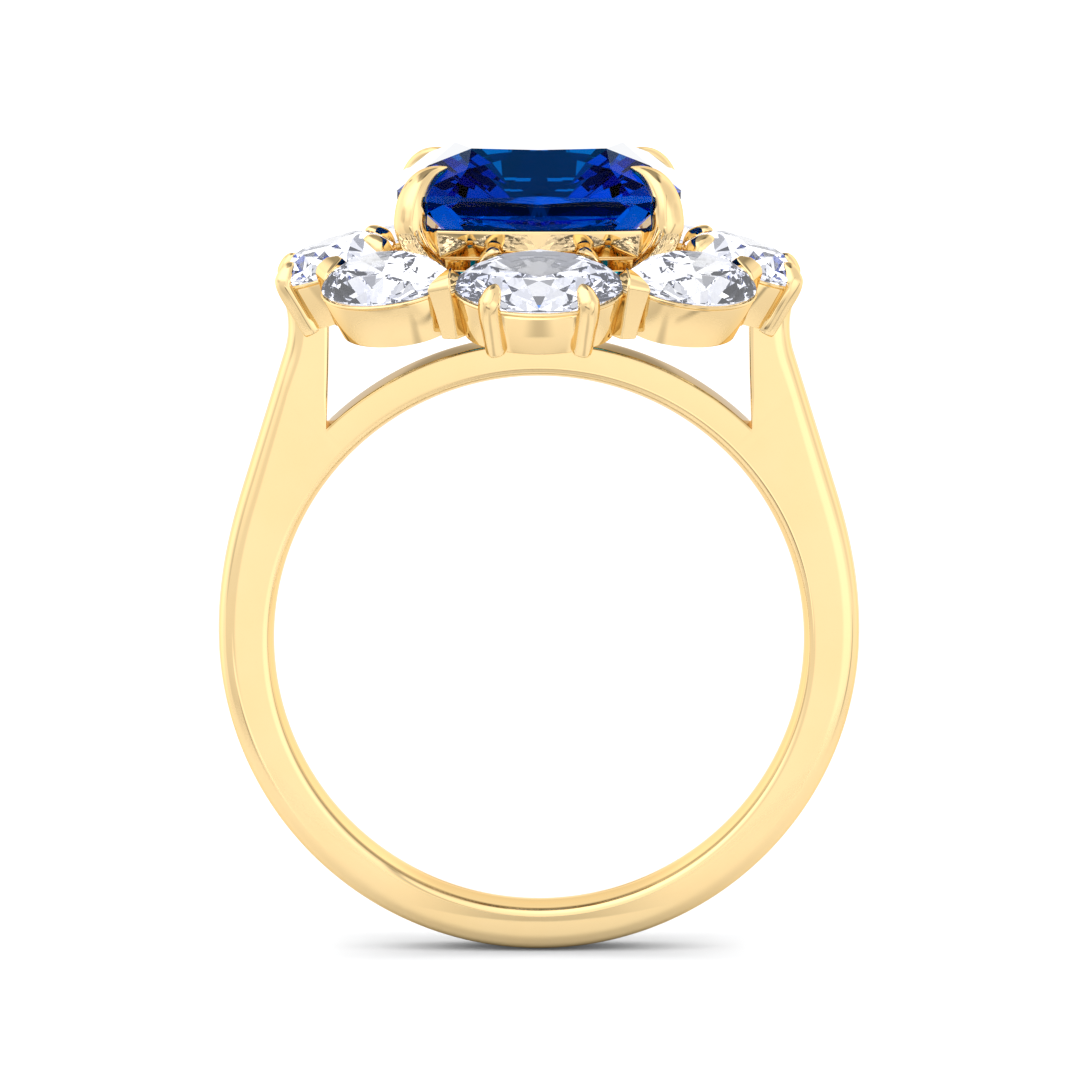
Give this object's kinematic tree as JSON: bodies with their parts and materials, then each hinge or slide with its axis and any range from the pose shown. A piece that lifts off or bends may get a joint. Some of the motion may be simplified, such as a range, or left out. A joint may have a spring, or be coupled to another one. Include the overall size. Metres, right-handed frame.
{
  "type": "engagement ring",
  "caption": "Engagement ring: square cushion stone held by claws above a flower-like halo of claw-set oval stones, on a flat-sided band with raised cathedral shoulders.",
  "frame": {"origin": "centre of the finger hole, midway through the band's width", "axes": "+Z from the finger up through the centre stone, +Y along the finger away from the front, X across the band from shoulder to shoulder"},
  "size_m": [0.0204, 0.0168, 0.0259],
  "materials": {
    "gold": "polished yellow gold",
    "blue_stone": "faceted, deep blue",
    "clear_stone": "faceted, colourless"
  },
  "bodies": {
    "root": {"bar_1": "gold", "bar_2": "gold", "bar_3": "gold", "bar_4": "gold", "bar_5": "gold", "bar_6": "gold", "bar_7": "gold", "bar_8": "gold", "base_collar": "gold", "bridge": "gold", "centre_claw_1": "gold", "centre_claw_2": "gold", "centre_claw_3": "gold", "centre_claw_4": "gold", "centre_stone": "blue_stone", "collet_1": "gold", "collet_2": "gold", "collet_3": "gold", "collet_4": "gold", "collet_5": "gold", "collet_6": "gold", "collet_7": "gold", "collet_8": "gold", "halo_claw_01": "gold", "halo_claw_02": "gold", "halo_claw_03": "gold", "halo_claw_04": "gold", "halo_claw_05": "gold", "halo_claw_06": "gold", "halo_claw_07": "gold", "halo_claw_08": "gold", "halo_claw_09": "gold", "halo_claw_10": "gold", "halo_claw_11": "gold", "halo_claw_12": "gold", "halo_claw_13": "gold", "halo_claw_14": "gold", "halo_claw_15": "gold", "halo_claw_16": "gold", "lower_rail": "gold", "oval_1": "clear_stone", "oval_2": "clear_stone", "oval_3": "clear_stone", "oval_4": "clear_stone", "oval_5": "clear_stone", "oval_6": "clear_stone", "oval_7": "clear_stone", "oval_8": "clear_stone", "shank": "gold", "strut_1": "gold", "strut_2": "gold", "strut_3": "gold", "strut_4": "gold", "upper_rail": "gold"}
  },
  "joints": []
}
